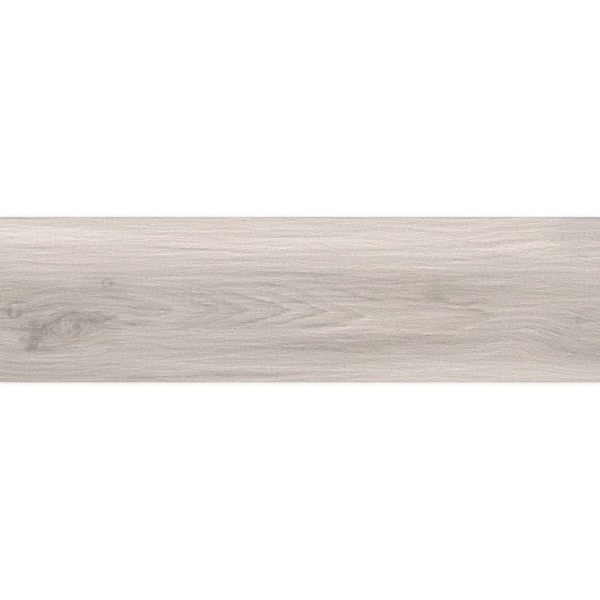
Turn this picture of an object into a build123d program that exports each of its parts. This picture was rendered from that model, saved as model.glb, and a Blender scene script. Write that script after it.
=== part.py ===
"""Plank-format floor tile: one dry-pressed and fired porcelain slab, ground square on its four sides.

Frame: +X along the plank, +Y across it, +Z up through the wear face. The origin is the middle of the back,
on the plane that the tile is bedded on. Millimetres.
"""

from build123d import *

import math
import os

# The slab
LENGTH = 600.0
WIDTH = 165.0
THICKNESS = 9.0

# Its edges
ARRIS_RADIUS = 0.7  # round where the wear face meets the ground sides
BACK_BEVEL = 1.2  # 45 degree bevel that the press leaves round the back

# The keying pattern that the press punch leaves in the back
RECESS_DEPTH = 0.6
RECESS_SIDE = 26.0  # at the bedding plane
RECESS_CORNER = 3.0
RECESS_DRAFT = 1.0  # how far each wall leans in from the bedding plane to the recess floor
RIB_WIDTH = 4.0
RIM_WIDTH = 8.0  # the least plain border left round the pattern


def slab_section(run):
    """The closed outline, in its own plane, of the slab cut across one pair of sides, run apart.

    Its X is the run and its Y the height. The top corners are the arrises and the bottom ones the bevels.
    """
    half = run / 2
    round_start = THICKNESS - ARRIS_RADIUS
    round_centre = half - ARRIS_RADIUS
    left_side = Line((-half, BACK_BEVEL), (-half, round_start))
    left_arris = CenterArc((-round_centre, round_start), ARRIS_RADIUS, 180, -90)
    wear_face = Line((-round_centre, THICKNESS), (round_centre, THICKNESS))
    right_arris = CenterArc((round_centre, round_start), ARRIS_RADIUS, 90, -90)
    right_side = Line((half, round_start), (half, BACK_BEVEL))
    right_bevel = Line((half, BACK_BEVEL), (half - BACK_BEVEL, 0))
    back = Line((half - BACK_BEVEL, 0), (-half + BACK_BEVEL, 0))
    left_bevel = Line((-half + BACK_BEVEL, 0), (-half, BACK_BEVEL))
    outline = [left_side, left_arris, wear_face, right_arris, right_side, right_bevel, back, left_bevel]
    return make_face(Wire(outline))


def slab():
    """The plain slab: where the long section and the cross section meet, so that the corners are mitred."""
    lengthwise = extrude(Plane.XZ * slab_section(LENGTH), WIDTH / 2, both=True)
    crosswise = extrude(Plane.YZ * slab_section(WIDTH), LENGTH / 2, both=True)
    return lengthwise & crosswise


def recesses_along(run):
    """How many recesses fit in a run of the back with a rim at each end."""
    return max(1, math.floor((run - 2 * RIM_WIDTH + RIB_WIDTH) / (RECESS_SIDE + RIB_WIDTH)))


def recess():
    """One recess as a solid, with its mouth on the bedding plane and its walls leaning in to its floor."""
    mouth = RectangleRounded(RECESS_SIDE, RECESS_SIDE, RECESS_CORNER)
    floor_side = RECESS_SIDE - 2 * RECESS_DRAFT
    floor = RectangleRounded(floor_side, floor_side, RECESS_CORNER)
    return loft([mouth, Pos(0, 0, RECESS_DEPTH) * floor])


def keying_pattern():
    """Every recess of the back, in rows and columns that are centred on it."""
    pitch = RECESS_SIDE + RIB_WIDTH
    one = recess()
    places = GridLocations(pitch, pitch, recesses_along(LENGTH), recesses_along(WIDTH))
    return [place * one for place in places]


def main():
    tile = slab() - keying_pattern()
    os.makedirs("parts", exist_ok=True)
    export_step(tile, "parts/tile.step")


main()
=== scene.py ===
"""A wood-look porcelain floor tile, in the order in which it is pressed, decorated, fired and ground.

Metres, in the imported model's frame: +X along the plank, +Y across it, +Z up through the wear face. The
print has a frame of its own, in millimetres: along from the plank's left end, and down from its far side.
"""

import math

import bpy
import numpy as np
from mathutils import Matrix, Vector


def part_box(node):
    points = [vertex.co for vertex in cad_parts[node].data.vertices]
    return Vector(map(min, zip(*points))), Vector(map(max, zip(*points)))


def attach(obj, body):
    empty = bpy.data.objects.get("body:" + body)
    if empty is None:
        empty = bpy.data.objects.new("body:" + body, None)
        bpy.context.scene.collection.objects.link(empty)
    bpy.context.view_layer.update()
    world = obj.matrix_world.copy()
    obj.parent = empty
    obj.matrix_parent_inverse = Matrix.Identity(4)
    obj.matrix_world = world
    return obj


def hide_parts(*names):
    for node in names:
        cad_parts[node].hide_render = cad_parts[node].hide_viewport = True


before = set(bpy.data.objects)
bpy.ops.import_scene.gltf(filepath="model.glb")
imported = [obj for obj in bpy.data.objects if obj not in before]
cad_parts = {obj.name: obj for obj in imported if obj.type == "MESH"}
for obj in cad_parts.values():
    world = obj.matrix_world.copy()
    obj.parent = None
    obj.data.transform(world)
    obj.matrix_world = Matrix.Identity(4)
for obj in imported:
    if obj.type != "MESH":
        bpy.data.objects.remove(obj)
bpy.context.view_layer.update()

# The fired body
# Porcelain clay, pressed face up in a steel die and fired hard. It shows bare and pale grey on the ground
# sides and in the recesses of the back. The back's ribs keep the white wash that stops them sticking to the
# kiln's rollers.

MM = 0.001
lowest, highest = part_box("tile")
LENGTH = (highest.x - lowest.x) / MM
WIDTH = (highest.y - lowest.y) / MM
THICKNESS = (highest.z - lowest.z) / MM


class Socket:
    """A node's output. Arithmetic on it adds Math nodes to its tree, and node() adds any other node."""

    def __init__(self, tree, output=None):
        self.tree = tree
        self.output = output

    def node(self, kind, settings={}, inputs={}, output=0):
        """Adds a node of this kind with its settings, then the values or links of its sockets."""
        node = self.tree.nodes.new(kind)
        for name, value in settings.items():
            if name == "stops":
                ramp = node.color_ramp
                for _ in value[2:]:
                    ramp.elements.new(0)
                for element, (position, colour) in zip(ramp.elements, value):
                    element.position = position
                    element.color = (*colour, 1)
            else:
                setattr(node, name, value)
        for key, value in inputs.items():
            if isinstance(value, Socket):
                self.tree.links.new(value.output, node.inputs[key])
            else:
                node.inputs[key].default_value = value
        return Socket(self.tree, node.outputs[output] if node.outputs else None)

    def also(self, output):
        """Another output of the same node."""
        return Socket(self.tree, self.output.node.outputs[output])

    def math(self, operation, *values):
        return self.node("ShaderNodeMath", {"operation": operation}, dict(enumerate(values)))

    def __add__(self, other):
        return self.math("ADD", self, other)

    def __sub__(self, other):
        return self.math("SUBTRACT", self, other)

    def __rsub__(self, other):
        return self.math("SUBTRACT", other, self)

    def __mul__(self, other):
        return self.math("MULTIPLY", self, other)

    def __truediv__(self, other):
        return self.math("DIVIDE", self, other)

    def __pow__(self, power):
        return self.math("POWER", self, power)

    def __abs__(self):
        return self.math("ABSOLUTE", self)

    __radd__ = __add__
    __rmul__ = __mul__

    def step(self, start, end, to=1.0):
        """Runs smoothly from 0 where this is start to the given value where it is end.

        It stays in that range without a clamp, and the clamps of a long sum would overfill Cycles' stack.
        """
        limits = {"Value": self, "From Min": start, "From Max": end, "To Min": 0.0, "To Max": to}
        smooth = {"interpolation_type": "SMOOTHSTEP", "clamp": False}
        return self.node("ShaderNodeMapRange", smooth, limits)


def axes(vector):
    """A vector's X, Y and Z."""
    x = vector.node("ShaderNodeSeparateXYZ", inputs={"Vector": vector})
    return x, x.also("Y"), x.also("Z")


def place(along, down):
    """A spot on a surface as a vector."""
    return along.node("ShaderNodeCombineXYZ", inputs={"X": along, "Y": down})


def noise(spot, length, width, detail, roughness, seed, aside=0.0):
    """Noise from 0 to 1 in streaks of about this length and width, moved aside by so many widths."""
    stretched = spot.node(
        "ShaderNodeVectorMath",
        {"operation": "MULTIPLY_ADD"},
        {0: spot, 1: (1 / length, 1 / width, 0), 2: (seed, aside - seed, 0)},
    )
    inputs = {"Vector": stretched, "Scale": 1.0, "Detail": detail, "Roughness": roughness}
    return spot.node("ShaderNodeTexNoise", {"noise_dimensions": "2D"}, inputs)


def streaks(spot, length, width, detail, roughness, seed):
    """The same noise about 0, mostly within 0.3 of it."""
    return noise(spot, length, width, detail, roughness, seed) - 0.5


def srgb(red, green, blue):
    """An 8-bit colour as the linear numbers that a shader takes."""
    return [((c / 255 + 0.055) / 1.055) ** 2.4 for c in (red, green, blue)]


def new_material(name):
    """A material without nodes but its output, and a Socket to start its tree from."""
    material = bpy.data.materials.new(name)
    material.use_nodes = True
    material.node_tree.nodes.clear()
    return material, Socket(material.node_tree)


clay, start = new_material("bare_fired_body")
spot = start.node("ShaderNodeTexCoord", output="Object")
x, y, z = axes(spot)
along, across, up = x / MM, y / MM, z / MM

GROG_PER_METRE = 1400.0
CLOUDS_PER_METRE = 14.0
grog = spot.node("ShaderNodeTexNoise", inputs={"Vector": spot, "Scale": GROG_PER_METRE, "Detail": 2.0})
specks = grog.step(0.66, 0.72)
cloud = spot.node("ShaderNodeTexNoise", inputs={"Vector": spot, "Scale": CLOUDS_PER_METRE, "Detail": 4.0})
body_stops = [(0.3, srgb(186, 178, 168)), (0.5, srgb(196, 189, 180)), (0.7, srgb(204, 198, 190))]
body_colour = cloud.node("ShaderNodeValToRGB", {"stops": body_stops}, {"Fac": cloud})

BACK_BEVEL = 1.2
WASH_HEIGHT = 0.1  # the wash is whole up to here above the bedding plane, and gone at three times that
WASH_COVER = 0.85
SPECK_COVER = 0.35
is_back = up.step(BACK_BEVEL, BACK_BEVEL - 0.4)
roller = streaks(place(across, along), 60.0, 4.0, 3.0, 0.6, 7.0)
wash = (roller + cloud * 0.6).step(0.0, 0.5) * up.step(3 * WASH_HEIGHT, WASH_HEIGHT, WASH_COVER)
washed = body_colour.node(
    "ShaderNodeMix",
    {"data_type": "RGBA"},
    {0: wash, 6: body_colour, 7: (*srgb(226, 223, 217), 1)},
    output=2,
)
speckled = washed.node(
    "ShaderNodeMix",
    {"data_type": "RGBA"},
    {0: specks * SPECK_COVER, 6: washed, 7: (*srgb(132, 122, 112), 1)},
    output=2,
)
ROUGHNESS_HEIGHT = 0.05
grinding = streaks(place(along + across, up), 30.0, 0.25, 2.0, 0.6, 3.0) * (1 - is_back)
rough = grog * 0.6 + grinding + roller * is_back * 0.5
unglazed = {"Strength": 0.5, "Distance": ROUGHNESS_HEIGHT * MM, "Height": rough}
skin = rough.node("ShaderNodeBump", inputs=unglazed)
matt = skin.node(
    "ShaderNodeBsdfPrincipled",
    inputs={"Base Color": speckled, "Roughness": 0.75, "Normal": skin},
)
matt.node("ShaderNodeOutputMaterial", inputs={"Surface": matt})

# The printed glaze
# Ink jets print limed oak on the engobed face, and a matt glaze is fired over it. The print is one tone, in
# levels of 255: the plank's broad shades, its growth lines, arches and knots, and the fibres of the wood.

glaze, start = new_material("printed_matt_glaze")
x, y, z = axes(start.node("ShaderNodeTexCoord", output="Object"))
along = x / MM + LENGTH / 2
down = WIDTH / 2 - y / MM

plain = place(along, down)


def oval(spot, centre, half_length, half_width, tilt=0.0):
    """The square of how far out a spot is in an oval, 1 on its outline. Tilt is how far down it slopes.

    A spot and its cross product with the tilt add up to the spot turned, and moved out by the hypotenuse.
    """
    if tilt:
        turning = {0: spot, 1: (0, 0, tilt)}
        aside = spot.node("ShaderNodeVectorMath", {"operation": "CROSS_PRODUCT"}, turning)
        spot = spot.node("ShaderNodeVectorMath", {"operation": "ADD"}, {0: spot, 1: aside})
        centre = (centre[0] + tilt * centre[1], centre[1] - tilt * centre[0])
        half_length *= math.hypot(1, tilt)
        half_width *= math.hypot(1, tilt)
    stretch = (1 / half_length, 1 / half_width, 0)
    shift = (-centre[0] / half_length, -centre[1] / half_width, 0)
    inputs = {0: spot, 1: stretch, 2: shift}
    out = spot.node("ShaderNodeVectorMath", {"operation": "MULTIPLY_ADD"}, inputs)
    return out.node("ShaderNodeVectorMath", {"operation": "DOT_PRODUCT"}, {0: out, 1: out}, "Value")


def straightened(along, down):
    """Where a fibre would be if it didn't part round the knots, where bends push it down by millimetres."""
    spot = place(along, down)
    straight = down
    for centre, half_length, half_width, push in [
        ((92, 84), 70, 34, -7),
        ((48, 134), 70, 34, 7),
        ((595, 128), 80, 40, 9),
        ((620, 10), 170, 40, -8),
        ((520, 118), 60, 24, -5),
    ]:
        straight = straight - oval(spot, centre, half_length, half_width).step(1.0, 0.0, push)
    return place(along, straight)


ASIDE = 0.8  # how far off the dark or light beside each fibre is, in its widths


def fibres(spot):
    """The fibres and pores, in levels. Each size is dark beside light, so that it adds no broad shade."""
    total = 0.0
    for length, width, levels, seed in [
        (6.0, 1.1, 26, 31.0),
        (13.0, 1.4, 17, 37.0),
        (27.0, 2.6, 17, 41.0),
        (64.0, 5.0, 15, 43.0),
        (170.0, 10.0, 7, 47.0),
    ]:
        middle = noise(spot, length, width, 0.0, 0.5, seed)
        above = noise(spot, length, width, 0.0, 0.5, seed, -ASIDE)
        below = noise(spot, length, width, 0.0, 0.5, seed, ASIDE)
        total = total + (middle - (above + below) * 0.5) * levels
    return total


# Each fibre breaks a slanted line a little further along, so that lines run in small steps. Knots are only
# ragged. The noise's whole swing moves a line by these, in millimetres.
FIBRE_STEP = 14
LINE_WANDER = 2.0
bent = straightened(along, down)
fibre = streaks(bent, 14.0, 1.6, 0.0, 0.5, 11.0)
wander = streaks(plain, 9.0, 5.0, 2.0, 0.5, 23.0)
ragged = streaks(plain, 3.0, 2.5, 2.0, 0.6, 71.0)
stepped_along = along + fibre * FIBRE_STEP
stepped_down = down + wander * LINE_WANDER
stepped = place(stepped_along, stepped_down)
knotty = place(along + ragged * 4, down + wander * 1.5 + ragged * 1.5)
crisp_along = along + ragged * 2
crisp_down = down + ragged


def blot(spot, centre, half_length, half_width, levels, tilt=0.0, edge=0.0):
    """An oval that shades the print by so many levels."""
    return oval(spot, centre, half_length, half_width, tilt).step(1.0, edge, levels)


LEVELS_SPAN = 70.0  # a ramp holds levels as greys, up to half of this either way


def levels_by(share, stops):
    """Levels that run from stop to stop, at (share, levels)."""
    greys = [(position, [0.5 + levels / LEVELS_SPAN] * 3) for position, levels in stops]
    ramp = share.node("ShaderNodeValToRGB", {"stops": greys}, {"Fac": share})
    grey = ramp.node("ShaderNodeSeparateColor", inputs={"Color": ramp})
    return (grey - 0.5) * LEVELS_SPAN


def growth_lines(along, down, lanes):
    """The long lines of the print, in levels.

    Each runs through points of (along, down, levels, half its width where it has half its levels).
    """
    share_along = along / LENGTH
    share_down = down / WIDTH
    total = 0.0
    for points in lanes:
        stops = [
            (spot / LENGTH, (line_down / WIDTH, 0.5 + levels / LEVELS_SPAN, half / WIDTH))
            for spot, line_down, levels, half in points
        ]
        path = share_along.node("ShaderNodeValToRGB", {"stops": stops}, {"Fac": share_along})
        line_down = path.node("ShaderNodeSeparateColor", inputs={"Color": path})
        from_line = abs(share_down - line_down) / line_down.also("Blue")
        total = total + from_line.step(2.0, 0.0, line_down.also("Green") - 0.5)
    return total * LEVELS_SPAN


LINES = [
    # far side, rising to the right
    [(430, 23.5, 0, 1), (450, 23, -5, 1), (500, 20, -6, 1), (520, 19, 0, 1)],
    [(495, 10, 0, 1.3), (515, 8.5, -3, 1.3), (530, 6.5, -4, 1.4), (545, 2.5, -4, 1.4), (552, 0, 0, 1.3)],
    [
        (5, 29.5, 0, 1.5), (20, 30, -9, 1.6), (45, 30.5, -12, 1.6), (75, 29.5, -8, 1.2),
        (125, 30, -4, 1), (140, 30, -9, 1), (200, 32, -12, 1), (222, 33, -9, 1), (245, 35, -8, 1),
        (275, 36, 0, 1), (395, 30, 0, 1), (440, 29, -6, 1), (472, 27, -9, 1), (500, 25, -7, 1),
        (545, 22, -8, 1.2), (560, 21, -8, 1.4), (580, 19.5, -9, 1.6), (600, 21, -8, 2),
    ],
    [
        (140, 36, 0, 1), (150, 37, 4, 1), (168, 37.5, 9, 1), (185, 37, 4, 1), (245, 38, 5, 1),
        (285, 40, 0, 1), (300, 35, 0, 2.5), (320, 34.5, -5, 2.5), (345, 35, -5, 2.5),
        (360, 35, 0, 2.5), (470, 40, 0, 1.2), (490, 39.5, -9, 1.4), (510, 39, -7, 1.2),
        (525, 39, 0, 1.2),
    ],
    [(530, 41, 0, 1.2), (550, 40, -6, 1.4), (580, 39.5, -7, 1.5), (600, 40, -6, 1.5)],
    [
        (300, 49, 0, 1.2), (320, 49.5, 6, 1.2), (360, 50, 9, 1.3), (400, 51, 13, 1.3),
        (440, 50.5, 8, 1.2), (480, 51, 0, 1.2), (490, 46, 0, 1), (505, 46, -7, 1), (525, 46, -5, 1),
        (535, 46, 0, 1),
    ],
    [
        (195, 56, 0, 1.2), (222, 56, -9, 1.2), (240, 55.5, -9, 1.2), (262, 56, -16, 1.6),
        (300, 56, -14, 1.2), (312, 57, -16, 1.6), (330, 58, -12, 1.3), (350, 59.5, -9, 1.3),
        (370, 62, -11, 1.3), (385, 63, -12, 1.5), (400, 65.3, -14, 1.6), (420, 64.5, -10, 1.4),
        (440, 63.5, -9, 1.2), (455, 65, -9, 1.2), (478, 69, -6, 1), (500, 69, -8, 1), (515, 69, -6, 1),
        (545, 69, -3, 1), (557, 68.5, -11, 1.2), (566, 68.3, -11, 1.2), (575, 69, 0, 1),
    ],
    [
        (0, 61.5, 4, 1), (30, 62, 4, 1), (58, 62, 7, 1), (80, 63, 5, 1), (98, 67, 3, 1),
        (104, 67, 0, 1), (150, 61, 0, 1), (165, 61, 6, 1), (200, 60.5, 7, 1), (230, 61, 5, 1),
        (250, 61, 0, 1), (325, 54, 0, 1.2), (350, 55, -6, 1.2), (370, 56, -8, 1.3),
        (390, 57, -10, 1.3), (402, 58.5, -13, 1.5), (425, 58, -10, 1.3), (450, 60, -14, 1.5),
        (468, 60, -10, 1.2), (475, 58.5, -12, 1.2), (490, 60.5, -7, 1), (525, 60, -9, 1.2),
        (540, 61, -5, 1), (580, 63, 0, 1),
    ],
    [
        (180, 66, 0, 1), (190, 66.5, -11, 1.2), (205, 68, -8, 1), (228, 68, -12, 1.2),
        (236, 67.5, 0, 1), (245, 65.5, 0, 1), (258, 66, -8, 1), (268, 66.5, -13, 1.3),
        (277, 69, -13, 1.3), (290, 71, -9, 1), (296, 71, -11, 1), (301, 74, -3, 1),
        (307, 77.5, -10, 1.2), (313, 79, 0, 1),
    ],
    [
        (0, 71, -4, 1.5), (15, 70.5, -6, 1.5), (30, 72, -7, 1.5), (38, 71, -12, 1.5),
        (46, 72, -5, 1.2), (55, 70, -6, 1.3), (66, 73, -8, 1.6), (78, 75, -9, 1.8), (95, 76, -10, 1.5),
        (110, 75, 0, 1.2), (125, 70, 0, 1), (150, 71, -5, 1), (180, 72.5, -4, 1),
        (213, 73.5, -10, 1.3), (222, 75, -8, 1.2), (235, 77.5, -9, 1.4), (243, 79, -9, 1.4),
        (262, 83, -4, 1.2), (275, 86, 0, 1), (302, 66, 0, 1), (320, 67.5, -5, 1.2), (335, 72, -9, 1.3),
        (343, 74, -15, 1.6), (350, 76, -10, 1.5), (370, 82, -10, 1.3), (379, 83.3, -12, 1.2),
        (385, 83.5, 0, 1),
    ],
    [
        (20, 76, 0, 1), (50, 76, -11, 1.2), (60, 75, -3, 1), (80, 79, -6, 1.2), (98, 81, -3, 1.2),
        (115, 79.5, -10, 1.4), (122, 81, -7, 1.2), (135, 84.5, 0, 1), (240, 76.5, 0, 1.2),
        (247, 78.5, 7, 1.2), (262, 81, 10, 1.2), (270, 83.5, 8, 1), (284, 91, 0, 1), (350, 70, 0, 1.2),
        (363, 70, -7, 1.4), (376, 74.5, -14, 1.3), (384, 77, -9, 1.2), (402, 81, -8, 1.2),
        (410, 82.5, -12, 1.2), (425, 83, -6, 1.2), (445, 84.5, -6, 1.2), (462, 87.5, -9, 1.4),
        (470, 86.5, -10, 1.4), (476, 84, -9, 1.4), (482, 83.5, -6, 1.2), (500, 83, 0, 1),
    ],
    [
        (5, 85, 0, 1.2), (12, 86, -14, 1.4), (22, 85, -12, 1.3), (30, 86, -4, 1), (60, 86, 0, 1),
        (66, 89, 0, 1), (75, 86, 7, 1), (92, 81.5, 6, 1), (102, 80, 0, 1), (137, 78, 0, 1),
        (143, 79, -12, 1.1), (158, 80, -13, 1.2), (165, 80, -5, 1), (175, 84, -5, 1),
        (200, 88, -8, 1.2), (213, 88.5, -9, 1.2), (218, 86, -6, 1.2), (228, 86.5, -3, 1),
        (240, 89, 0, 1), (398, 85.5, 0, 1), (403, 87, -12, 1.3), (410, 89, -7, 1.2),
        (435, 90.5, -6, 1), (470, 92, -2, 1), (476, 93.5, -9, 1.2), (480, 94, -12, 1.2),
        (486, 94.5, -9, 1.2), (493, 96, 0, 1),
    ],
    [
        (300, 73, 0, 1.2), (320, 81, 8, 1.3), (336, 87, 10, 1.4), (350, 93, 7, 1.3), (357, 97, 0, 1.2),
        (365, 80, 0, 1.2), (385, 84.5, 6, 1.2), (410, 86, 7, 1.2), (440, 88, 6, 1.2),
        (465, 91, 8, 1.2), (474, 91, 0, 1.2),
    ],
    [
        (28, 84, 0, 1.2), (45, 79.5, 7, 1.3), (53, 79, 4, 1), (60, 79, 0, 1), (120, 88, 0, 1.2),
        (140, 88.5, -8, 1.4), (148, 89, -14, 1.6), (160, 92, -11, 1.4), (168, 94.5, -14, 1.4),
        (176, 94, 0, 1.2), (348, 96, 0, 1.5), (362, 94, -9, 1.6), (380, 95.5, -10, 1.6),
        (400, 95.5, -9, 1.5), (430, 96.5, 0, 1.5),
    ],
    [
        (375, 111, 0, 1.2), (390, 109.5, -8, 1.3), (405, 109.5, -8, 1.3), (418, 111, -6, 1.2),
        (425, 112, 0, 1.2), (432, 109, 0, 1.2), (442, 109, -7, 1.2), (454, 111.5, -7, 1.2),
        (462, 113, 0, 1.2),
    ],
    [
        (36, 104, 0, 1.5), (45, 99, 9, 1.6), (52, 95, 10, 1.6), (61, 90.5, 11, 1.4), (68, 89, 0, 1.2),
        (135, 103, 0, 1), (150, 101.5, 7, 1), (165, 99, 5, 1), (182, 96, 4, 1), (215, 90, 0, 1),
    ],
    [
        (0, 111, -8, 1.8), (10, 112, -10, 1.6), (25, 112, -15, 1.8), (34, 111, -14, 1.8),
        (42, 109, 0, 1.5), (105, 107, 0, 2), (118, 106, -6, 1.8), (135, 107, -9, 2.2),
        (150, 104, -9, 1.6), (160, 104, 0, 1.2), (170, 106, 0, 1.5), (180, 110, -6, 1.8),
        (200, 110, -5, 1.6), (228, 109.5, -7, 1.2), (240, 107, -9, 1.2), (250, 104, -12, 1.3),
        (258, 102.5, -12, 1.2), (268, 101.5, -8, 1.2), (285, 95, -6, 1.2), (288, 92, 0, 1),
        (296, 110, 0, 1.4), (308, 109.5, -14, 1.8), (320, 108.5, -14, 1.6), (345, 108.5, -7, 1.4),
        (352, 108, 6, 1.5), (362, 104, 14, 1.4), (368, 101, 6, 1.2), (382, 97, 0, 1.2),
    ],
    [
        (235, 112, 0, 1.2), (250, 110, -6, 1.2), (265, 107.5, -11, 1.3), (272, 106, -11, 1.3),
        (282, 105, -7, 1.2), (310, 98, -6, 1.2), (318, 95, -5, 1.2), (322, 92, 0, 1), (450, 117, 0, 1),
        (462, 112, 8, 1.2), (468, 109, 12, 1.2), (474, 108, 9, 1.2), (482, 105, 0, 1),
    ],
    [
        (290, 118, 0, 1.2), (300, 116, 5, 1.4), (320, 114.5, 10, 1.5), (335, 113, 11, 1.5),
        (350, 109.5, 8, 1.3), (355, 112, 0, 1), (360, 116, 5, 1), (372, 114, 10, 1.2),
        (385, 113, 10, 1.2), (400, 111.5, 7, 1.5), (415, 113, 7, 1.4), (430, 116, 5, 1),
        (450, 115.5, 3, 1), (460, 115, 0, 1), (515, 113, 0, 1), (524, 113, 10, 1.2),
        (532, 113, 14, 1.2), (540, 113, 0, 1),
    ],
    [
        (335, 119, 0, 1.2), (345, 119, -9, 1.6), (352, 121, -11, 1.4), (362, 118, -9, 1.2),
        (385, 117, -6, 1.2), (415, 118, -8, 1.2), (450, 118.5, -10, 1.3), (470, 116, -7, 1.2),
        (482, 113, -12, 1.4), (495, 112.5, -10, 1.3), (510, 111, -10, 1.2), (520, 110, -9, 1.2),
        (530, 109.5, -15, 1.4), (542, 112, -14, 1.4), (552, 114, -12, 1.4), (560, 117, -13, 1.5),
        (568, 119, -9, 1.2), (575, 121, -12, 1.4), (585, 127, -7, 1.4), (600, 131, -7, 1.4),
    ],
    [
        (255, 129, 0, 1.2), (280, 127, -7, 1.3), (300, 126, -8, 1.4), (318, 125, -10, 1.5),
        (342, 126, -10, 1.5), (350, 128, -12, 1.8), (365, 129.5, -10, 1.5), (375, 129, -14, 1.5),
        (382, 129, 0, 1),
    ],
    [
        (120, 128, 0, 1.2), (150, 126, -4, 1.2), (170, 131, -5, 1.5), (200, 133, -7, 1.2),
        (230, 133.5, -6, 1.3), (250, 131, -7, 1.5), (270, 128.5, -9, 1.3), (290, 130.5, -12, 1.4),
        (318, 130, -15, 1.8), (335, 132, -14, 1.8), (345, 130, -6, 1.3), (352, 127, -4, 1.3),
        (372, 124, -9, 1.3), (383, 124, -14, 1.5), (404, 124.5, -17, 1.6), (410, 122, -12, 1.4),
        (425, 124.5, -8, 1.3), (440, 124.5, -12, 1.4), (455, 124, -11, 1.4), (470, 123, -8, 1.2),
        (483, 123.5, -14, 1.4), (505, 121, -10, 1.3), (518, 122.5, -9, 1.2), (545, 123, 0, 1.2),
    ],
    [
        (335, 134, 0, 1.2), (345, 135.5, -17, 1.5), (352, 135.5, -12, 1.3), (358, 134, -8, 1.2),
        (363, 136, -15, 1.3), (371, 133, -13, 1.3), (380, 132.5, -9, 1.2), (392, 131, 0, 1.2),
        (552, 132, 0, 1.5), (558, 134, -6, 1.6), (561, 129, -8, 1.5), (564, 131, -8, 1.5),
        (570, 135, -10, 1.6), (578, 136, -12, 1.6), (600, 139, -10, 1.7),
    ],
    [
        (0, 144, -6, 1.2), (25, 146.5, -8, 1.3), (40, 146.5, -6, 1.2), (60, 146, -4, 1),
        (90, 148, -4, 1), (123, 146, -8, 1), (130, 146, 0, 1), (215, 151, 0, 1), (230, 150, 6, 1),
        (290, 150, 7, 1), (300, 150, 0, 1), (415, 151, 0, 1), (425, 151, 10, 1.1), (470, 151, 9, 1.1),
        (490, 151, 0, 1),
    ],
    [
        (60, 161, 0, 1), (75, 161, 5, 1), (110, 157, 6, 1), (150, 154.5, 6, 1), (185, 154, 7, 1),
        (200, 154, 0, 1), (388, 136, 0, 1), (396, 135.5, 9, 1.1), (408, 135.5, 8, 1.1),
        (414, 136, 0, 1), (446, 137.5, 0, 1), (455, 137.5, 8, 1.1), (488, 137, 8, 1.1),
        (496, 137, 0, 1),
    ],
    [(365, 157, 0, 1), (378, 157, 7, 1), (405, 157, 9, 1), (415, 157, 0, 1)],
    [
        (100, 162, 0, 1.2), (120, 160.5, -8, 1.2), (142, 160, -16, 1.3), (165, 159.5, -11, 1.1),
        (192, 159, -14, 1.2), (213, 157.5, -14, 1.2), (225, 157.5, -20, 1.7), (240, 157, -15, 1.3),
        (272, 158, -18, 1.4), (285, 156.5, -12, 1.2), (318, 155, -10, 1.2), (333, 154.5, -12, 1.2),
        (345, 155, -6, 1), (353, 155, -11, 1.1), (380, 155.5, -4, 1), (400, 156, 0, 1),
    ],
]

# Broad shades: pale along the far side, darkest through the middle of the board, and lighter again at the
# near side. Each stop is a place down the plank and its levels.
profile = [
    (0, 9), (1.5, 12), (4, 17), (8, 16), (22, 20), (31, 16), (45, 8), (58, 0), (72, -6), (92, -8),
    (118, -5), (135, -8), (150, 0), (165, 2),
]
BASE_TONE = 195.0
# Painted shade: the tone drops by so many levels along both long edges, over the rounded arrises, as if
# they turned away from the light.
ARRIS_SHADE_LEVELS = 9
shade = levels_by(stepped_down / WIDTH, [(spot / WIDTH, levels) for spot, levels in profile])
arris_painted_shade = down.step(1.8, 0.4) + down.step(WIDTH - 1.8, WIDTH - 0.4)
tone = BASE_TONE + shade - arris_painted_shade * ARRIS_SHADE_LEVELS

for centre, half_length, half_width, levels, tilt in [
    ((20, 95), 90, 45, -10, 0.0),
    ((70, 108), 70, 34, -8, -0.1),
    ((595, 12), 60, 34, -14, -0.1),
    ((590, 130), 70, 30, -8, 0.15),
    ((325, 61), 45, 9, -5, 0.0),
    ((0, 40), 14, 30, -4, 0.0),
    ((118, 78), 26, 8, -7, 0.0),
    ((140, 108), 26, 5, -5, 0.0),
    ((520, 92), 45, 18, 4, 0.0),
    ((500, 128), 48, 7, 5, 0.0),
    ((15, 136), 20, 8, -5, 0.0),
    ((430, 76), 130, 22, -4, 0.0),
    ((360, 126), 150, 14, -6, -0.02),
    ((0, 168), 230, 34, -16, 0.0),
    ((480, 160), 200, 26, 8, 0.0),
    ((350, 100), 120, 22, 7, 0.0),
    ((300, 28), 160, 9, 4, 0.0),
    ((30, 16), 110, 13, 8, 0.0),
    ((105, 66), 34, 16, -8, 0.0),
    ((530, 14), 50, 12, -4, 0.0),
    ((240, 158), 80, 6, -6, 0.0),
    ((12, 121), 14, 7, 8, 0.3),
    ((288, 77), 14, 6, 6, 0.15),
    ((525, 31), 40, 6, 3, 0.0),
    ((138, 94), 15, 10, -7, 0.0),
    ((575, 128), 22, 8, 5, 0.3),
    ((436, 74), 18, 14, -10, 0.0),
    ((435, 81), 14, 4.5, -10, 0.0),
    ((458, 74), 15, 9, -6, 0.0),
    ((438, 98), 30, 12, 3, 0.0),
    ((218, 12), 24, 3, -4, 0.0),
]:
    tone = tone + blot(stepped, centre, half_length, half_width, levels, tilt)

LINE_STRENGTH = 1.15
grown = growth_lines(stepped_along, stepped_down, LINES) * LINE_STRENGTH

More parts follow.
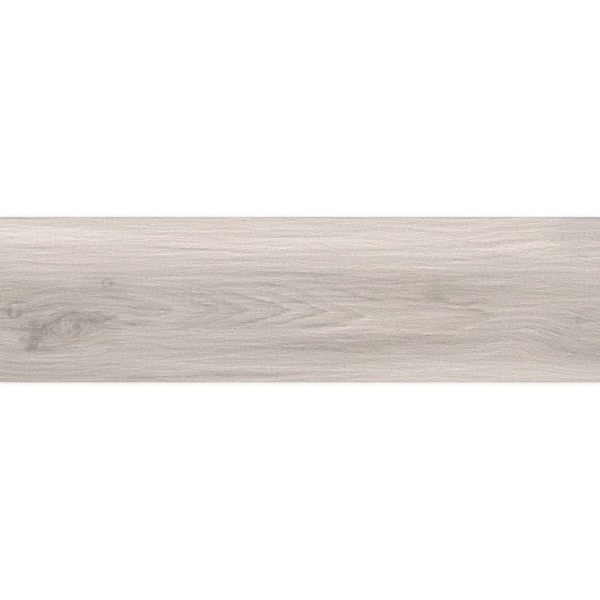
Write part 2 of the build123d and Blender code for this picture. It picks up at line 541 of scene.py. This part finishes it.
# Arches, where the saw ran along the rings: one curved field whose contours all point to the right.
AXIS_DOWN = 92.5
AXIS_DROP = 6.5  # how much lower the arches' axis runs at the right
axis_down = stepped_along.step(290.0, 370.0, AXIS_DROP) + AXIS_DOWN
off_axis = abs(stepped_down - axis_down)
arch = along + fibre * 9 + (off_axis * 1.6) ** 1.2
tips = [
    (168, 0), (174, -9), (178, 4), (205, 0), (213, -6), (218, -14), (223, 3), (230, -4), (241, -9),
    (248, -15), (252, 5), (264, 0), (280, -6), (289, -19), (293, 8), (302, 3), (317, -5), (324, -20),
    (328, 5), (345, -3), (363, -13), (367, 5), (376, 2), (478, 0), (494, -6), (499, 5), (510, 0),
]
rings = levels_by(arch / LENGTH, [(spot / LENGTH, levels) for spot, levels in tips])
grown = grown + rings * off_axis.step(28.0, 4.0, 1.1)

# Lime stays in short pores beside the growth lines, as pale flecks.
FLECK_LEVELS = 15
flecks = streaks(bent, 2.6, 1.3, 0.0, 0.5, 17.0).step(0.12, 0.24)
tone = tone + grown + abs(grown).step(2.0, 8.0) * (flecks * FLECK_LEVELS - 2)

# Knots: the large one, with dark rims that close on a tip at the right and a pocket of bark at the left, a
# small one at the left end, a pip, and the soft eyes at the right
PITH = (68, 111)
PITH_SLOPE = 0.25
KNOT_EDGE = 0.15
for centre, half_length, half_width, levels, tilt in [
    (PITH, 34, 19, -4, -PITH_SLOPE),
    ((34.5, 105.5), 8, 4.5, -13, 0.0),
    ((37, 117), 8, 8, -20, 0.0),
    ((33, 110.5), 9, 2, -13, 0.0),
    ((43, 115), 7, 6, -10, 0.0),
    ((24, 123), 6, 5.5, -11, 0.0),
    ((42, 122.5), 6, 3, -12, 0.0),
    ((34, 127), 5.5, 4, -12, 0.0),
    ((46, 132), 15, 4.5, -8, 0.0),
    ((49, 112), 3, 9, -9, 0.0),
    ((43, 110), 4, 4, -10, 0.0),
    ((33, 125), 8, 7.5, -18, 0.0),
    ((31, 131.5), 8.5, 4.2, -29, 0.0),
    ((45, 133.3), 14, 2.2, -13, 0.0),
    ((22, 121), 4, 1.5, -12, 0.0),
    ((28, 121), 3, 2, 9, 0.0),
    ((42, 127.5), 7.5, 5.5, -12, 0.0),
    ((42, 127.5), 4.5, 3.5, 8, 0.0),
    ((44.5, 109.5), 2.2, 4, -16, 0.0),
    ((47, 116), 2.2, 4.5, -20, 0.0),
    ((52, 115), 2.2, 6, -7, 0.0),
    ((59, 109), 2.2, 5, -8, 0.0),
    ((80, 103.5), 6, 3.5, -15, 0.0),
    ((77, 110), 5.5, 5, -16, 0.1),
    ((70, 114.5), 2.8, 2.2, -18, 0.0),
    ((66, 109), 9, 6, 12, 0.0),
    ((72, 109), 3, 3.5, 8, 0.0),
    ((90, 93.3), 11, 2.5, 10, 0.0),
    ((88, 128.5), 18, 4, 9, -0.05),
    ((118, 128), 10, 2.5, -12, 0.0),
    ((95, 100.5), 13, 6, -10, 0.0),
    ((94, 104.5), 13, 4.5, -8, 0.0),
    ((111, 101), 8, 4, -9, -0.3),
    ((104, 112), 22, 7, -8, 0.0),
    ((84, 119), 14, 6, -8, 0.0),
    ((19.5, 96.5), 4.5, 4.5, -21, 0.0),
    ((9.5, 95), 3, 5.5, -20, 0.0),
    ((11.5, 97), 5.5, 4, -8, 0.0),
    ((10, 87.8), 4, 1.6, -15, 0.0),
    ((20, 85.5), 12, 3, -11, 0.0),
    ((5, 95), 3, 8, -9, 0.0),
    ((15.5, 90), 5, 3.5, 6, 0.0),
    ((24.5, 89.5), 4, 4, 6, 0.0),
    ((113, 66), 6, 2, -12, 0.0),
    ((577, 103), 4, 5, -8, 0.0),
    ((586, 98), 18, 9, -5, 0.0),
    ((568, 105), 6, 12, -4, 0.0),
    ((12.5, 93), 3.5, 3.5, -8, 0.0),
    ((359, 104), 5, 2.5, -8, 0.0),
    ((108, 132), 5, 2.5, -8, 0.0),
]:
    tone = tone + blot(knotty, centre, half_length, half_width, levels, tilt, KNOT_EDGE)

for centre, half_length, half_width, thickness, levels in [
    ((67, 112), 13.5, 9, 0.16, -8),
    ((67, 112), 8, 5.5, 0.2, -7),
    ((107.5, 66.5), 4.3, 4.0, 0.45, -21),
    ((602, 104), 26, 14, 0.09, -6),
    ((602, 104), 34, 19, 0.09, 3),
]:
    from_rim = abs(oval(knotty, centre, half_length, half_width) ** 0.5 - 1)
    tone = tone + from_rim.step(thickness, 0.0, levels)

KNOT_RIMS = [
    [
        (6, 91, 0, 1.2), (9, 96, -9, 1.5), (11, 99.3, -19, 1.4), (13.5, 100.6, -20, 1.3),
        (18, 99, -15, 1.3), (21.5, 96.5, -10, 1.6), (23.5, 94.4, -9, 1), (31, 94.2, -11, 0.9),
        (33, 94.2, 0, 1),
    ],
    [
        (41, 112, 0, 1.5), (44, 110, -16, 1.5), (47, 107.5, -18, 1.4), (50, 106, -15, 1.3),
        (54, 104.5, -24, 1.4), (60, 102, -27, 1.7), (64, 99.2, -22, 1.6), (68, 97, -16, 1.4),
        (72, 95, -16, 1.3), (76, 94.5, -14, 1.2), (82, 97, -7, 1.1), (86, 98, -12, 1.1),
        (91, 96, -15, 1.1), (97, 95, -17, 1.2), (102, 97, -19, 1.2), (106, 100, -22, 1.3),
        (110, 101.5, -15, 1.3), (114, 100.5, -12, 1.2), (118, 98, -13, 1.2), (121, 94, -9, 1),
        (124, 92.5, 0, 1),
    ],
    [
        (68, 99, 0, 1.2), (72, 97.5, -13, 1.3), (79, 97.5, -13, 1.3), (83, 99.5, -9, 1.5),
        (86, 103.5, -13, 2), (91, 104.5, -14, 2), (96, 105, -15, 1.8), (100, 106, -11, 1.5),
        (104, 105, -19, 1.5), (107, 102, -10, 1.4), (110, 101, 0, 1.2),
    ],
    [
        (50, 129.5, 0, 1), (56, 129, -8, 1.2), (64, 128.5, -11, 1.2), (70, 127, -10, 1),
        (73, 125.5, -11, 1.1), (76, 124.5, -18, 1.1), (80, 123.5, -16, 1.1), (84, 122, 0, 1),
        (86, 129.5, -6, 1), (95, 127, -8, 1), (105, 124, -6, 1), (115, 121.5, 0, 1),
    ],
]
tone = tone + growth_lines(crisp_along, crisp_down, KNOT_RIMS)

# The knots' own wood is mottled.
MOTTLE_LEVELS = 28
mottle = streaks(bent, 2.6, 1.7, 1.0, 0.7, 73.0)
in_knot = blot(knotty, PITH, 44, 22, 1.0, -0.2, 0.5)
in_bark = blot(knotty, (35, 117), 14, 18, 1.0, 0.0, 0.5)
tone = tone + mottle * (in_knot + in_bark) * MOTTLE_LEVELS

# Fibres and pores, which run round the pith in the large knot, and the glaze's own speckle over them
WHORL_STRETCH = 1.8
WHORL_RADIUS = 12  # where the fibres round the pith are as long as the straight ones
WHORL_STRENGTH = 0.7
SPECKLE_LEVELS = 30
pith_along = (along - PITH[0]) / WHORL_STRETCH
pith_down = down - PITH[1] + (along - PITH[0]) * PITH_SLOPE
turned = along.math("ARCTAN2", pith_down, pith_along) * WHORL_RADIUS
radius = (pith_along ** 2 + pith_down ** 2) ** 0.5 + ragged * 3
whorl = fibres(place(turned, radius)) * WHORL_STRENGTH
threads = fibres(bent)
threads = threads + (whorl - threads) * blot(plain, PITH, 32, 12.5, 1.0, -PITH_SLOPE, 0.4)
speckle = streaks(plain, 2.6, 1.0, 0.0, 0.5, 13.0)
patchy = streaks(plain, 14.0, 6.0, 1.0, 0.5, 19.0) + 1.0
tone = tone + (threads + speckle * SPECKLE_LEVELS) * patchy

# The darker the tone, the greener its grey. Slight casts drift over the plank, and its long edges are
# warmer.
FULL_TONE = 255
WARM_LEVELS = 9.0
MAGENTA_LEVELS = 1.4
GREENING = 0.01
ink_stops = []
for level in (140, 160, 180, 200, 220, 240):
    drift = (BASE_TONE - level) * GREENING
    red = level + WARM_LEVELS - drift
    green = level - MAGENTA_LEVELS + 2 * drift
    blue = level - WARM_LEVELS - drift
    ink_stops.append((level / FULL_TONE, srgb(red, green, blue)))
share_tone = tone / FULL_TONE
ink = share_tone.node("ShaderNodeValToRGB", {"stops": ink_stops}, {"Fac": share_tone})
long_edges = down.step(6.0, 3.0) + down.step(158.5, 160.5)
WARMTH_DRIFT = 0.065
GREEN_DRIFT = 0.055
warmth = streaks(plain, 50.0, 32.0, 3.0, 0.9, 53.0) * WARMTH_DRIFT + long_edges * 0.01
warmth = warmth + blot(plain, (410, 95), 110, 60, 0.012) + blot(plain, (210, 95), 110, 60, -0.008)
warmth = warmth + blot(plain, (600, 0), 70, 22, -0.025)
green = streaks(plain, 44.0, 28.0, 3.0, 0.9, 59.0) * GREEN_DRIFT - long_edges * 0.006
cast = ink.node(
    "ShaderNodeCombineXYZ",
    inputs={"X": 1 + warmth - green, "Y": 1 + green, "Z": 1 - warmth - green},
)
tinted = ink.node("ShaderNodeVectorMath", {"operation": "MULTIPLY"}, {0: ink, 1: cast})

ORANGE_PEEL = 0.05  # how uneven the fired glaze is
GLOSS = 0.52
peel = {"Strength": 0.3, "Distance": ORANGE_PEEL * MM, "Height": speckle}
grain = speckle.node("ShaderNodeBump", inputs=peel)
gloss = GLOSS + threads * 0.003
face = grain.node(
    "ShaderNodeBsdfPrincipled",
    inputs={"Base Color": tinted, "Roughness": gloss, "Normal": grain},
)
face.node("ShaderNodeOutputMaterial", inputs={"Surface": face})

# The slab
# One pressed and fired piece. The upper punch leaves a fine grain in the face and the lower one the keying
# pattern in the back, and grinding wheels square the sides and round their top edges once it is fired.

ARRIS_RADIUS = 0.7
RECESS_DEPTH = 0.6
RECESS_SIDE = 26.0
RECESS_CORNER = 3.0
RECESS_DRAFT = 1.0
RIB_WIDTH = 4.0
RIM_WIDTH = 8.0
PITCH = RECESS_SIDE + RIB_WIDTH
COLUMNS = math.floor((LENGTH - 2 * RIM_WIDTH + RIB_WIDTH) / PITCH)
ROWS = math.floor((WIDTH - 2 * RIM_WIDTH + RIB_WIDTH) / PITCH)
GRAIN_DEPTH = 0.1

points = []
faces = []


def perimeter(xs, ys):
    """The stations round a rectangle, anticlockwise from near left, as (x, y, outward x, outward y)."""
    near = [(x, ys[0]) for x in xs]
    right = [(xs[-1], y) for y in ys[1:]]
    far = [(x, ys[-1]) for x in xs[-2::-1]]
    left = [(xs[0], y) for y in ys[-2:0:-1]]
    return [
        (x, y, (x == xs[-1]) - (x == xs[0]), (y == ys[-1]) - (y == ys[0]))
        for x, y in near + right + far + left
    ]


def add_ring(stations, outward, height):
    """Adds the stations' points, moved outward, at this height, and gives their numbers."""
    first = len(points)
    points.extend((x + ox * outward, y + oy * outward, height) for x, y, ox, oy in stations)
    return list(range(first, len(points)))


def bridge(lower, upper):
    """Closes the band between two rings of as many points."""
    for i in range(len(lower)):
        k = (i + 1) % len(lower)
        faces.append((lower[i], lower[k], upper[k], upper[i]))


FACE_COLUMNS = 240
FACE_ROWS = 330
face_xs = [float(x) for x in np.linspace(-1, 1, FACE_COLUMNS + 1) * (LENGTH / 2 - ARRIS_RADIUS)]
face_ys = [float(y) for y in np.linspace(-1, 1, FACE_ROWS + 1) * (WIDTH / 2 - ARRIS_RADIUS)]
points.extend((x, y, THICKNESS) for y in face_ys for x in face_xs)
row = FACE_COLUMNS + 1
for j in range(FACE_ROWS):
    for i in range(FACE_COLUMNS):
        corner = j * row + i
        faces.append((corner, corner + 1, corner + 1 + row, corner + row))

fine = perimeter(face_xs, face_ys)
number = {(x, y): j * row + i for j, y in enumerate(face_ys) for i, x in enumerate(face_xs)}
upper = [number[x, y] for x, y, ox, oy in fine]
ARRIS_STEPS = 4
for i in range(1, ARRIS_STEPS + 1):
    turn = math.pi / 2 * i / ARRIS_STEPS
    height = THICKNESS - ARRIS_RADIUS * (1 - math.cos(turn))
    lower = add_ring(fine, ARRIS_RADIUS * math.sin(turn), height)
    bridge(lower, upper)
    upper = lower

field_xs = [PITCH * (i - COLUMNS / 2) for i in range(COLUMNS + 1)]
field_ys = [PITCH * (i - ROWS / 2) for i in range(ROWS + 1)]
coarse_xs = [-LENGTH / 2, *field_xs, LENGTH / 2]
coarse_ys = [-WIDTH / 2, *field_ys, WIDTH / 2]
coarse = perimeter(coarse_xs, coarse_ys)
bevel_top = add_ring(coarse, 0, BACK_BEVEL)
bevel_foot = add_ring(coarse, -BACK_BEVEL, 0)
bridge(bevel_foot, bevel_top)
nearest = [
    min(range(len(fine)), key=lambda i: math.dist(fine[i][:2], (x, y)))
    for x, y, ox, oy in coarse
]
for i in range(len(coarse)):
    k = (i + 1) % len(coarse)
    last = nearest[k] or len(fine)
    top_edge = [upper[j % len(fine)] for j in range(last, nearest[i] - 1, -1)]
    faces.append((bevel_top[i], bevel_top[k], *top_edge))

field = perimeter(field_xs, field_ys)
field_ring = add_ring(field, 0, 0)
field_number = {station[:2]: n for station, n in zip(field, field_ring)}
inner = [
    field_number[min(max(x, field_xs[0]), field_xs[-1]), min(max(y, field_ys[0]), field_ys[-1])]
    for x, y, ox, oy in coarse
]
for i in range(len(coarse)):
    k = (i + 1) % len(coarse)
    faces.append(tuple(dict.fromkeys((inner[i], inner[k], bevel_foot[k], bevel_foot[i]))))

blank = bpy.data.meshes.new("floor_tile")
blank.from_pydata([(x * MM, y * MM, z * MM) for x, y, z in points], [], faces)
tile = bpy.data.objects.new("floor_tile", blank)
bpy.context.scene.collection.objects.link(tile)

# The two punches
press = bpy.data.node_groups.new("press_punches", "GeometryNodeTree")
press.interface.new_socket("Geometry", in_out="OUTPUT", socket_type="NodeSocketGeometry")
press.interface.new_socket("Geometry", in_out="INPUT", socket_type="NodeSocketGeometry")
punch_sizes = {
    "Face height": THICKNESS,
    "Grain depth": GRAIN_DEPTH,
    "Arris": ARRIS_RADIUS,
    "Recess side": RECESS_SIDE,
    "Recess corner": RECESS_CORNER,
    "Recess draft": RECESS_DRAFT,
    "Recess depth": RECESS_DEPTH,
    "Pitch": PITCH,
    "Columns": COLUMNS,
    "Rows": ROWS,
}
for name, value in punch_sizes.items():
    kind = "NodeSocketInt" if isinstance(value, int) else "NodeSocketFloat"
    press.interface.new_socket(name, in_out="INPUT", socket_type=kind)

blank_in = Socket(press).node("NodeGroupInput", output="Geometry")
size = {name: blank_in.also(name) for name in punch_sizes}
x, y, z = axes(blank_in.node("GeometryNodeInputPosition"))
along = x / MM + LENGTH / 2
down = WIDTH / 2 - y / MM

GRAIN_SWING = 6.0  # the levels at which a fibre stands as high, or a pore lies as deep, as any
PLAIN_RIM = 1.0  # the grain starts this far in from the arrises
relief = fibres(straightened(along, down)).step(GRAIN_SWING, -GRAIN_SWING)
to_end = (LENGTH / 2 - abs(x) / MM).step(PLAIN_RIM, 4 * PLAIN_RIM)
to_side = (WIDTH / 2 - abs(y) / MM).step(PLAIN_RIM, 3 * PLAIN_RIM)
is_face = z.math("GREATER_THAN", z, (size["Face height"] - 0.01) * MM)
carved = relief * to_end * to_side * is_face * size["Grain depth"] * -MM
drop = carved.node("ShaderNodeCombineXYZ", inputs={"Z": carved})
grained = drop.node("GeometryNodeSetPosition", inputs={"Geometry": blank_in, "Offset": drop})


def square(side):
    """A square outline of this side."""
    return side.node("GeometryNodeCurvePrimitiveQuadrilateral", inputs={"Width": side, "Height": side})


CORNER_POINTS = 3
mouth = square(size["Recess side"] * MM)
mouth = mouth.node(
    "GeometryNodeFilletCurve",
    {"mode": "POLY"},
    {"Curve": mouth, "Radius": size["Recess corner"] * MM, "Count": CORNER_POINTS},
)
both = mouth.node("GeometryNodeJoinGeometry", inputs={0: mouth})
outline = square(size["Pitch"] * MM)
press.links.new(outline.output, both.output.node.inputs[0])
ribs = both.node("GeometryNodeFillCurve", inputs={"Curve": both})
recess_floor = mouth.node("GeometryNodeFillCurve", {"mode": "NGONS"}, {"Curve": mouth})
rise = size["Recess depth"].node("ShaderNodeCombineXYZ", inputs={"Z": size["Recess depth"] * MM})
pushed = rise.node(
    "GeometryNodeExtrudeMesh",
    inputs={"Mesh": recess_floor, "Offset": rise, "Offset Scale": 1.0, "Individual": False},
)
px, py, pz = axes(pushed.node("GeometryNodeInputPosition"))
lean = pushed.node(
    "ShaderNodeCombineXYZ",
    inputs={
        "X": px.math("SIGN", px) * size["Recess draft"] * -MM,
        "Y": py.math("SIGN", py) * size["Recess draft"] * -MM,
    },
)
leaned = lean.node(
    "GeometryNodeSetPosition",
    inputs={"Geometry": pushed, "Selection": pushed.also("Top"), "Offset": lean},
)
cell = leaned.node("GeometryNodeJoinGeometry", inputs={0: leaned})
press.links.new(ribs.output, cell.output.node.inputs[0])
cell = cell.node("GeometryNodeFlipFaces", inputs={"Mesh": cell})
centres = blank_in.node(
    "GeometryNodeMeshGrid",
    inputs={
        "Size X": (size["Columns"] - 1) * size["Pitch"] * MM,
        "Size Y": (size["Rows"] - 1) * size["Pitch"] * MM,
        "Vertices X": size["Columns"],
        "Vertices Y": size["Rows"],
    },
)
cells = centres.node("GeometryNodeInstanceOnPoints", inputs={"Points": centres, "Instance": cell})
cells = cells.node("GeometryNodeRealizeInstances", inputs={"Geometry": cells})
whole = grained.node("GeometryNodeJoinGeometry", inputs={0: grained})
press.links.new(cells.output, whole.output.node.inputs[0])
SAME_POINT = 0.01
whole = whole.node("GeometryNodeMergeByDistance", inputs={"Geometry": whole, "Distance": SAME_POINT * MM})
whole = whole.node("GeometryNodeSetMaterial", inputs={"Geometry": whole, "Material": clay})
fx, fy, fz = axes(whole.node("GeometryNodeInputPosition"))
glazed = fz.math("GREATER_THAN", fz, (size["Face height"] - size["Arris"]) * MM)
whole = whole.node(
    "GeometryNodeSetMaterial",
    inputs={"Geometry": whole, "Selection": glazed, "Material": glaze},
)
whole = whole.node(
    "GeometryNodeSetShadeSmooth",
    inputs={"Geometry": whole, "Selection": glazed, "Shade Smooth": True},
)
whole.node("NodeGroupOutput", inputs={"Geometry": whole})

pressing = tile.modifiers.new("press_punches", "NODES")
pressing.node_group = press
for item in press.interface.items_tree:
    if item.in_out == "INPUT" and item.name in punch_sizes:
        pressing[item.identifier] = punch_sizes[item.name]
shape = bpy.data.meshes.new_from_object(tile.evaluated_get(bpy.context.evaluated_depsgraph_get()))
tile.modifiers.remove(pressing)
shape.materials.pop(index=0)  # the empty slot that the tree makes first
tile.data = shape

# The map for baking the finish: the face with its arrises over most of it, the back, and a strip for each
# side
FACE_MAP = (0.002, 0.3, 0.998, 0.998)
BACK_MAP = (0.002, 0.002, 0.998, 0.2)
NEAR_MAP = (0.002, 0.21, 0.7, 0.235)
FAR_MAP = (0.002, 0.25, 0.7, 0.275)
LEFT_MAP = (0.75, 0.21, 0.998, 0.235)
RIGHT_MAP = (0.75, 0.25, 0.998, 0.275)


def spread(values, half):
    """Places across the tile from 0 to 1, with the round of each arris rolled out flat."""
    flat_half = half - ARRIS_RADIUS
    past = np.clip(np.abs(values) - flat_half, 0, ARRIS_RADIUS)
    rolled = np.clip(np.abs(values), 0, flat_half) + np.arcsin(past / ARRIS_RADIUS) * ARRIS_RADIUS
    most = flat_half + ARRIS_RADIUS * math.pi / 2
    return 0.5 + np.sign(values) * rolled / most / 2


def put(where, box, u, v):
    """Gives these corners their places in a box of the map, from shares of its width and height."""
    uv[where, 0] = box[0] + u[where] * (box[2] - box[0])
    uv[where, 1] = box[1] + v[where] * (box[3] - box[1])


corner_count = len(shape.loops)
corner_point = np.empty(corner_count, dtype=np.int32)
shape.loops.foreach_get("vertex_index", corner_point)
spots = np.empty(len(shape.vertices) * 3)
shape.vertices.foreach_get("co", spots)
xs, ys, zs = (spots.reshape(-1, 3)[corner_point] / MM).T
normals = np.empty(len(shape.polygons) * 3)
shape.polygons.foreach_get("normal", normals)
corners_each = np.empty(len(shape.polygons), dtype=np.int32)
shape.polygons.foreach_get("loop_total", corners_each)
nx, ny, nz = np.repeat(normals.reshape(-1, 3), corners_each, axis=0).T

LEVEL = 0.05  # a face is a ground side where its normal rises by less
uv = np.zeros((corner_count, 2))
side_height = (zs - BACK_BEVEL) / (THICKNESS - ARRIS_RADIUS - BACK_BEVEL)
run_x = 0.5 + xs / LENGTH
run_y = 0.5 + ys / WIDTH
is_side = np.abs(nz) < LEVEL
put(nz >= LEVEL, FACE_MAP, spread(xs, LENGTH / 2), spread(ys, WIDTH / 2))
put(nz <= -LEVEL, BACK_MAP, 1 - run_x, run_y)
put(is_side & (ny < -0.5), NEAR_MAP, run_x, side_height)
put(is_side & (ny > 0.5), FAR_MAP, 1 - run_x, side_height)
put(is_side & (nx < -0.5), LEFT_MAP, 1 - run_y, side_height)
put(is_side & (nx > 0.5), RIGHT_MAP, run_y, side_height)
shape.uv_layers.new(name="OFBake")
shape.uv_layers["OFBake"].uv.foreach_set("vector", uv.astype(np.float32).ravel())

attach(tile, "root")
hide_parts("tile")

# The studio
# A pale floor and even light, with the camera square above the face, as a catalogue shows a tile.

floor_paint, start = new_material("pale_floor")
ray = start.node("ShaderNodeLightPath", output="Is Camera Ray")
through = ray.math("MAXIMUM", ray.also("Is Glossy Ray"), ray.also("Is Transmission Ray"))
seen = ray.math("MAXIMUM", ray, through)
FLOOR_PAINT = 0.65
FLOOR_GLOW = 0.45
paint = seen.node("ShaderNodeBsdfDiffuse", inputs={"Color": (FLOOR_PAINT, FLOOR_PAINT, FLOOR_PAINT, 1)})
glow = seen.node("ShaderNodeEmission", inputs={"Color": (1, 1, 1, 1), "Strength": seen * FLOOR_GLOW})
lit = seen.node("ShaderNodeAddShader", inputs={0: paint, 1: glow})
lit.node("ShaderNodeOutputMaterial", inputs={"Surface": lit})

FLOOR_HALF = 4.0
floor_mesh = bpy.data.meshes.new("floor")
floor_corners = [(-1, -1), (1, -1), (1, 1), (-1, 1)]
floor_points = [(x * FLOOR_HALF, y * FLOOR_HALF, 0) for x, y in floor_corners]
floor_mesh.from_pydata(floor_points, [], [(0, 1, 2, 3)])
floor_mesh.materials.append(floor_paint)
floor = bpy.data.objects.new("floor", floor_mesh)
bpy.context.scene.collection.objects.link(floor)

world = bpy.data.worlds.new("studio")
world.use_nodes = True
world.node_tree.nodes.clear()
start = Socket(world.node_tree)
ray = start.node("ShaderNodeLightPath", output="Is Camera Ray")
WORLD_LEVEL = 0.75
sky = ray.node(
    "ShaderNodeBackground",
    inputs={"Color": (1, 1, 1, 1), "Strength": ray * (1 - WORLD_LEVEL) + WORLD_LEVEL},
)
sky.node("ShaderNodeOutputWorld", inputs={"Surface": sky})
bpy.context.scene.world = world

LAMP_ANGLE = 50
LAMP_STRENGTH = 0.655
lamp_data = bpy.data.lights.new("softbox", "SUN")
lamp_data.angle = math.radians(LAMP_ANGLE)
lamp_data.energy = LAMP_STRENGTH
lamp = bpy.data.objects.new("softbox", lamp_data)
lamp.location = (-0.35, 0.4, 2.0)
lamp.rotation_euler = lamp.location.to_track_quat("Z", "Y").to_euler()
bpy.context.scene.collection.objects.link(lamp)

# The camera's height and lens put the plank's width at the 165.4 pixels that the photo gives it, and its
# place puts the plank a hair above the picture's middle.
SENSOR = 36.0
CAMERA_HEIGHT = 2.0
PIXELS_ACROSS = 600
PLANK_PIXELS = 165.4
CAMERA_ASIDE = 0.0004
view_width = PIXELS_ACROSS * WIDTH / PLANK_PIXELS * MM
camera_data = bpy.data.cameras.new("camera")
camera_data.sensor_width = SENSOR
camera_data.lens = SENSOR * CAMERA_HEIGHT / view_width
camera = bpy.data.objects.new("camera", camera_data)
camera.location = (0, -CAMERA_ASIDE, highest.z + CAMERA_HEIGHT)
bpy.context.scene.collection.objects.link(camera)
bpy.context.scene.camera = camera
bpy.context.scene.view_settings.view_transform = "Standard"
